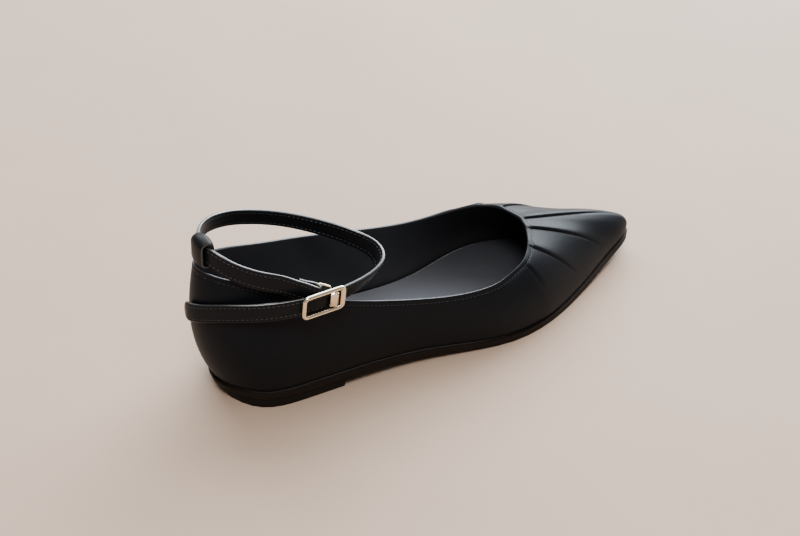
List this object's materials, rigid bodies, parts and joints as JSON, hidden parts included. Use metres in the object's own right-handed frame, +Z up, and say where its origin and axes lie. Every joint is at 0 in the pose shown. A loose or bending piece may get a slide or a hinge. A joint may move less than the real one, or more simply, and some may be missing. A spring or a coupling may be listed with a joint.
{
  "type": "pointed flat shoe with ankle strap",
  "caption": "Pointed low-heeled leather flat with a pleated vamp, an open collar, a heel loop and a buckled ankle strap, worn on the right foot.",
  "frame": {"origin": "on the floor under the middle of the heel block", "axes": "+X from heel to toe, +Y toward the inner side of the foot, +Z up"},
  "size_m": [0.2611, 0.0781, 0.0873],
  "materials": {
    "upper_leather": "satin",
    "sole_rubber": "matte",
    "heel_rubber": "matte",
    "insole_leather": "satin",
    "loop_leather": "satin",
    "strap_leather": "satin",
    "ring_metal": "polished",
    "buckle_metal": "polished",
    "bar_metal": "polished",
    "prong_metal": "polished"
  },
  "bodies": {
    "root": {"upper": "upper_leather", "outsole": "sole_rubber", "heel_block": "heel_rubber", "insole": "insole_leather", "heel_loop": "loop_leather", "ankle_strap": "strap_leather", "strap_ring": "ring_metal", "buckle_frame": "buckle_metal", "buckle_bar": "bar_metal", "buckle_prong": "prong_metal"}
  },
  "joints": []
}
